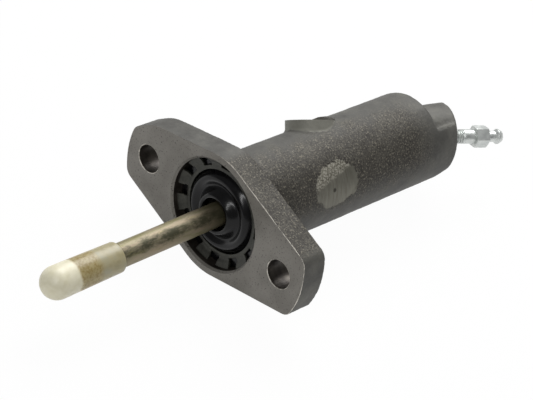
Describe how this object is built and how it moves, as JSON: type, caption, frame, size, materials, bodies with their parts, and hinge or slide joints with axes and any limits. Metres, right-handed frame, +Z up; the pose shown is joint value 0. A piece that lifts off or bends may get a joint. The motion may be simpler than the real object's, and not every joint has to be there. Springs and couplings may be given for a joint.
{
  "type": "clutch slave cylinder",
  "caption": "Hydraulic clutch slave cylinder: cast body with a bolt flange, sprung piston, tilting capped pushrod, dust boot, fluid port and angled bleed screw.",
  "frame": {"origin": "where the bore axis meets the machined mounting face of the flange, midway between the bolt holes", "axes": "+Y along the bore towards the closed end and the bleed screw, the pushrod leaves towards -Y, X along the line of the bolt holes, +Z up"},
  "size_m": [0.0952, 0.2248, 0.05],
  "materials": {
    "cast_body": "rough cast, machined on the mounting face",
    "boot_rubber": "glossy moulded rubber",
    "ring_steel": "dark phosphated sheet",
    "spring_steel": "oiled spring steel",
    "plain_steel": "pressed steel",
    "piston_metal": "turned",
    "seal_rubber": "moulded rubber",
    "rod_zinc": "zinc plated, yellow passivated",
    "cap_nylon": "moulded nylon",
    "screw_zinc": "bright zinc plated"
  },
  "bodies": {
    "cylinder": {"cylinder_body": "cast_body", "dust_boot": "boot_rubber", "boot_ring": "ring_steel", "stop_circlip": "spring_steel", "stop_washer": "plain_steel", "piston_spring": "spring_steel"},
    "piston": {"piston": "piston_metal", "piston_cup": "seal_rubber", "spring_seat": "plain_steel", "rod_clip": "spring_steel"},
    "rod": {"pushrod": "rod_zinc", "rod_cap": "cap_nylon"},
    "bleeder": {"bleed_screw": "screw_zinc"}
  },
  "joints": [
    {"name": "piston_slide", "type": "slide", "parent": "cylinder", "child": "piston", "axis": [0, 1, 0], "range_m": [0, 0.015], "stiffness_N_per_m": 1200, "springref_m": -0.017, "deforming": ["piston_spring"]},
    {"name": "rod_tilt", "type": "hinge", "parent": "piston", "child": "rod", "pos_m": [0, 0.0218, 0], "axis": [1, 0, 0], "range_deg": [-3.8, 0.6]},
    {"name": "bleed_turn", "type": "hinge", "parent": "cylinder", "child": "bleeder", "pos_m": [0.00638, 0.12148, 0], "axis": [0.4226, 0.9063, 0], "range_deg": [0, 270]}
  ]
}
